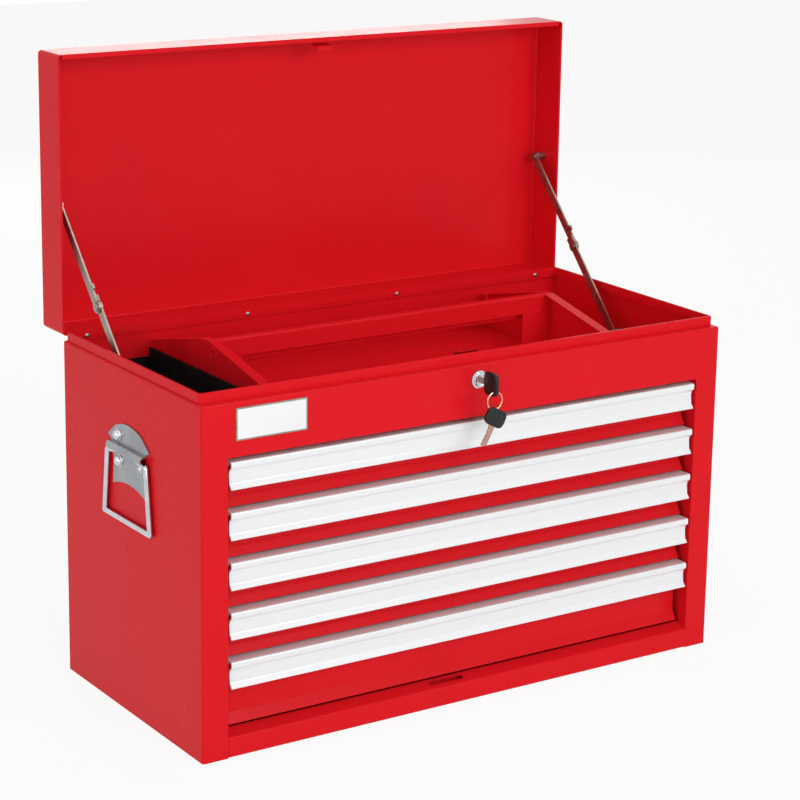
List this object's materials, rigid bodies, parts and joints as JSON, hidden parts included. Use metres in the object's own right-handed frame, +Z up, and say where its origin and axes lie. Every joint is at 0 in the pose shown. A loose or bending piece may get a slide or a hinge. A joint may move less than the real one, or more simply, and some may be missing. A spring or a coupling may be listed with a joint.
{
  "type": "tool chest",
  "caption": "Steel top chest with sliding drawers, full-width pull trims, a well under a hinged lid on folding stays, a front lock and side handles.",
  "frame": {"origin": "middle of the flat base, midway between the side panels and between the front and back panels", "axes": "+Z up, -Y towards the drawer fronts, +X to the right as seen from the front"},
  "size_m": [0.6768, 0.3916, 0.6837],
  "materials": {
    "red_paint": "gloss",
    "silver_trim": "satin",
    "zinc_steel": "satin",
    "handle_steel": "satin",
    "chrome": "polished",
    "key_black": "matte",
    "black_plastic": "matte"
  },
  "bodies": {
    "cabinet": {"front_frame": "red_paint", "left_side_panel": "red_paint", "right_side_panel": "red_paint", "back_panel": "red_paint", "bottom_pan": "red_paint", "top_rim": "red_paint", "well_floor": "red_paint", "left_slide_rails": "red_paint", "right_slide_rails": "red_paint", "hinge_body_leaf": "red_paint", "hinge_pin": "zinc_steel", "left_handle_plate": "handle_steel", "right_handle_plate": "handle_steel", "lock_housing": "chrome", "lock_nut": "zinc_steel", "latch_bracket": "zinc_steel", "left_stay_foot_stud": "zinc_steel", "right_stay_foot_stud": "zinc_steel", "parts_bin": "black_plastic", "tote_tray": "red_paint", "tote_handle": "red_paint"},
    "lid": {"lid_shell": "red_paint", "hinge_lid_leaf": "red_paint", "left_stay_lid_stud": "zinc_steel", "right_stay_lid_stud": "zinc_steel", "lid_strike": "red_paint"},
    "left_stay_lower": {"left_stay_lower_link": "zinc_steel"},
    "left_stay_upper": {"left_stay_upper_link": "zinc_steel"},
    "right_stay_lower": {"right_stay_lower_link": "zinc_steel"},
    "right_stay_upper": {"right_stay_upper_link": "zinc_steel"},
    "drawer_1": {"drawer_1_pan": "red_paint", "drawer_1_trim": "silver_trim", "drawer_1_left_runner": "zinc_steel", "drawer_1_right_runner": "zinc_steel"},
    "drawer_2": {"drawer_2_pan": "red_paint", "drawer_2_trim": "silver_trim", "drawer_2_left_runner": "zinc_steel", "drawer_2_right_runner": "zinc_steel"},
    "drawer_3": {"drawer_3_pan": "red_paint", "drawer_3_trim": "silver_trim", "drawer_3_left_runner": "zinc_steel", "drawer_3_right_runner": "zinc_steel"},
    "drawer_4": {"drawer_4_pan": "red_paint", "drawer_4_trim": "silver_trim", "drawer_4_left_runner": "zinc_steel", "drawer_4_right_runner": "zinc_steel"},
    "drawer_5": {"drawer_5_pan": "red_paint", "drawer_5_trim": "silver_trim", "drawer_5_left_runner": "zinc_steel", "drawer_5_right_runner": "zinc_steel"},
    "left_bail": {"left_handle_bail": "handle_steel"},
    "right_bail": {"right_handle_bail": "handle_steel"},
    "lock": {"lock_plug": "chrome", "key": "key_black"},
    "key_ring": {"key_ring": "chrome"},
    "latch": {"latch_hook": "chrome"}
  },
  "joints": [
    {"name": "lid_hinge", "type": "hinge", "parent": "cabinet", "child": "lid", "pos_m": [0, 0.1557, 0.3783], "axis": [1, 0, 0], "range_deg": [0, 90]},
    {"name": "left_stay_foot", "type": "hinge", "parent": "cabinet", "child": "left_stay_lower", "pos_m": [-0.314, 0.0164, 0.3336], "axis": [1, 0, 0], "range_deg": [-35.88, 0]},
    {"name": "left_stay_head", "type": "hinge", "parent": "lid", "child": "left_stay_upper", "pos_m": [-0.3162, 0.184, 0.5175], "axis": [1, 0, 0], "range_deg": [0, 20.16]},
    {"name": "right_stay_foot", "type": "hinge", "parent": "cabinet", "child": "right_stay_lower", "pos_m": [0.314, 0.0164, 0.3336], "axis": [1, 0, 0], "range_deg": [-35.88, 0]},
    {"name": "right_stay_head", "type": "hinge", "parent": "lid", "child": "right_stay_upper", "pos_m": [0.3162, 0.184, 0.5175], "axis": [1, 0, 0], "range_deg": [0, 20.16]},
    {"name": "drawer_1_slide", "type": "slide", "parent": "cabinet", "child": "drawer_1", "axis": [0, -1, 0], "range_m": [0, 0.21]},
    {"name": "drawer_2_slide", "type": "slide", "parent": "cabinet", "child": "drawer_2", "axis": [0, -1, 0], "range_m": [0, 0.21]},
    {"name": "drawer_3_slide", "type": "slide", "parent": "cabinet", "child": "drawer_3", "axis": [0, -1, 0], "range_m": [0, 0.21]},
    {"name": "drawer_4_slide", "type": "slide", "parent": "cabinet", "child": "drawer_4", "axis": [0, -1, 0], "range_m": [0, 0.21]},
    {"name": "drawer_5_slide", "type": "slide", "parent": "cabinet", "child": "drawer_5", "axis": [0, -1, 0], "range_m": [0, 0.21]},
    {"name": "left_bail_swing", "type": "hinge", "parent": "cabinet", "child": "left_bail", "pos_m": [-0.3335, 0, 0.2905], "axis": [0, 1, 0], "range_deg": [0, 90]},
    {"name": "right_bail_swing", "type": "hinge", "parent": "cabinet", "child": "right_bail", "pos_m": [0.3335, 0, 0.2905], "axis": [0, -1, 0], "range_deg": [0, 90]},
    {"name": "lock_turn", "type": "hinge", "parent": "cabinet", "child": "lock", "pos_m": [0.001, -0.15, 0.3598], "axis": [0, 1, 0], "range_deg": [0, 90]},
    {"name": "key_ring_swing", "type": "hinge", "parent": "lock", "child": "key_ring", "pos_m": [0.001, -0.1837, 0.3528], "axis": [1, 0, 0], "range_deg": [-30, 25]},
    {"name": "latch_turn", "type": "hinge", "parent": "cabinet", "child": "latch", "pos_m": [0.001, -0.129, 0.351], "axis": [1, 0, 0], "range_deg": [0, 9]}
  ],
  "couplings": [
    {"joint": "left_stay_foot", "follows": "lid_hinge", "ratio": -0.3985},
    {"joint": "left_stay_head", "follows": "lid_hinge", "ratio": 0.22393},
    {"joint": "right_stay_foot", "follows": "lid_hinge", "ratio": -0.3985},
    {"joint": "right_stay_head", "follows": "lid_hinge", "ratio": 0.22393},
    {"joint": "latch_turn", "follows": "lock_turn", "ratio": 0.1}
  ]
}
